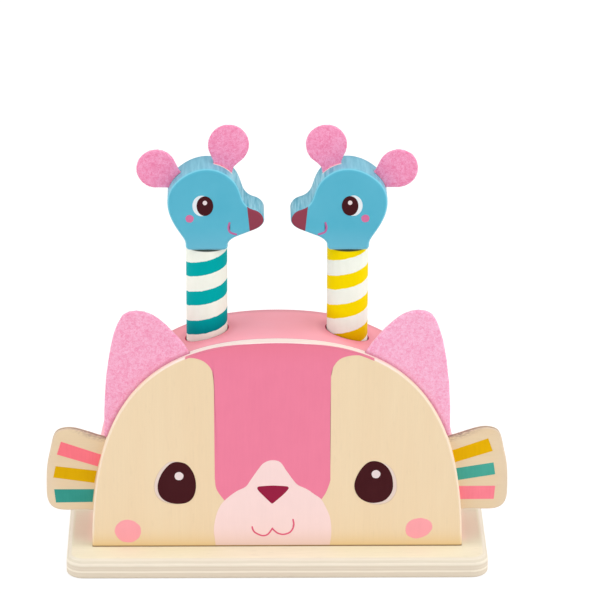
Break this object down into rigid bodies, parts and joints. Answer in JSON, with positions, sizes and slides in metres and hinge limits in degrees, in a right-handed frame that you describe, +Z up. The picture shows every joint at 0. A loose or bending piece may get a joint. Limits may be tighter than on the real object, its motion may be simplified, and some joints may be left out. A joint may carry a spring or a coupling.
{
  "type": "pop up animal toy",
  "caption": "Wooden pop-up toy: a cat-faced half-round block on a base plate, with mice on striped pegs that stand on springs in its bores, pop up when let go and lift out.",
  "frame": {"origin": "middle of the base plate's underside, on the surface that the toy stands on", "axes": "+X to the right seen from the face's side, +Y from the face to the back, +Z up"},
  "size_m": [0.2626, 0.09, 0.2559],
  "materials": {
    "base_ply": "clear matt lacquer on birch plywood",
    "panel_ply": "printed plywood, satin",
    "fan_ply": "printed plywood, satin",
    "block_paint": "pink painted wood, satin",
    "cat_felt": "pink wool felt",
    "mouse_felt": "pink wool felt",
    "head_paint": "blue painted wood, satin",
    "teal_peg": "off-white paint with a teal helical stripe",
    "yellow_peg": "off-white paint with a yellow helical stripe",
    "dowel_wood": "bare beech",
    "cap_wood": "bare beech",
    "spring_steel": "drawn spring wire",
    "screw_steel": "zinc plated"
  },
  "bodies": {
    "cat": {"base_plate": "base_ply", "base_screws": "screw_steel", "cat_block": "block_paint", "face_panel": "panel_ply", "left_cat_ear": "cat_felt", "right_cat_ear": "cat_felt", "left_whiskers": "fan_ply", "right_whiskers": "fan_ply"},
    "left_coil": {"left_spring": "spring_steel"},
    "left_cap": {"left_spring_cap": "cap_wood"},
    "left_mouse": {"left_peg": "teal_peg", "left_neck_dowel": "dowel_wood", "left_mouse_head": "head_paint", "left_mouse_front_ear": "mouse_felt", "left_mouse_back_ear": "mouse_felt"},
    "right_coil": {"right_spring": "spring_steel"},
    "right_cap": {"right_spring_cap": "cap_wood"},
    "right_mouse": {"right_peg": "yellow_peg", "right_neck_dowel": "dowel_wood", "right_mouse_head": "head_paint", "right_mouse_front_ear": "mouse_felt", "right_mouse_back_ear": "mouse_felt"}
  },
  "joints": [
    {"name": "left_mouse_spin", "type": "hinge", "parent": "cat", "child": "left_coil", "pos_m": [-0.03975, 0.00325, 0.01], "axis": [0, 0, 1], "continuous": true},
    {"name": "left_mouse_press", "type": "slide", "parent": "left_coil", "child": "left_cap", "axis": [0, 0, 1], "range_m": [-0.05, 0], "stiffness_N_per_m": 150, "springref_m": 0.012, "deforming": ["left_spring"]},
    {"name": "left_mouse_lift", "type": "slide", "parent": "left_cap", "child": "left_mouse", "axis": [0, 0, 1], "range_m": [0, 0.09]},
    {"name": "right_mouse_spin", "type": "hinge", "parent": "cat", "child": "right_coil", "pos_m": [0.03975, 0.00325, 0.01], "axis": [0, 0, 1], "continuous": true},
    {"name": "right_mouse_press", "type": "slide", "parent": "right_coil", "child": "right_cap", "axis": [0, 0, 1], "range_m": [-0.05, 0], "stiffness_N_per_m": 150, "springref_m": 0.012, "deforming": ["right_spring"]},
    {"name": "right_mouse_lift", "type": "slide", "parent": "right_cap", "child": "right_mouse", "axis": [0, 0, 1], "range_m": [0, 0.09]}
  ]
}
